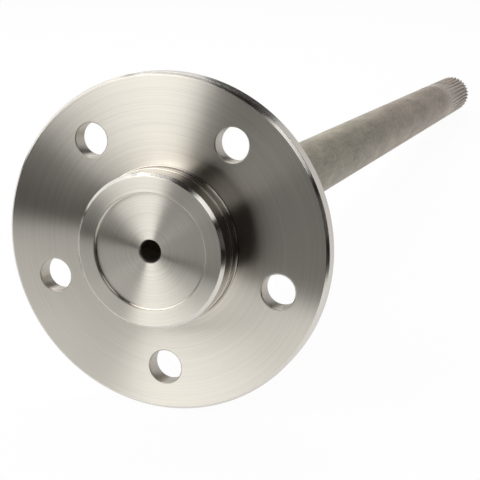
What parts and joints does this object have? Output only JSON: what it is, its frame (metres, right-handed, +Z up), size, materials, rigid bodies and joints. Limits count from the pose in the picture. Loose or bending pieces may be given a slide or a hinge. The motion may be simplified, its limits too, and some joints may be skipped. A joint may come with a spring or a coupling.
{
  "type": "axle shaft",
  "caption": "Flanged steel axle shaft: a round wheel flange with stud holes and a stepped pilot on one end, a long plain shaft, and involute spline teeth on the inner end.",
  "frame": {"origin": "centre of the wheel face, where the shaft's axis meets the plane that the brake drum or disc sits on", "axes": "+Y runs from the wheel flange towards the splined end, level with the floor; +Z is up. The part lies as it comes to rest, on the flange's rim and the splined end, so its axis dips 4.45 degrees below +Y."},
  "size_m": [0.1546, 0.7951, 0.1546],
  "materials": {
    "turned_steel": "turned bright on the flange and pilots, dull as forged along the shaft"
  },
  "bodies": {
    "root": {"axle_shaft": "turned_steel"}
  },
  "joints": []
}
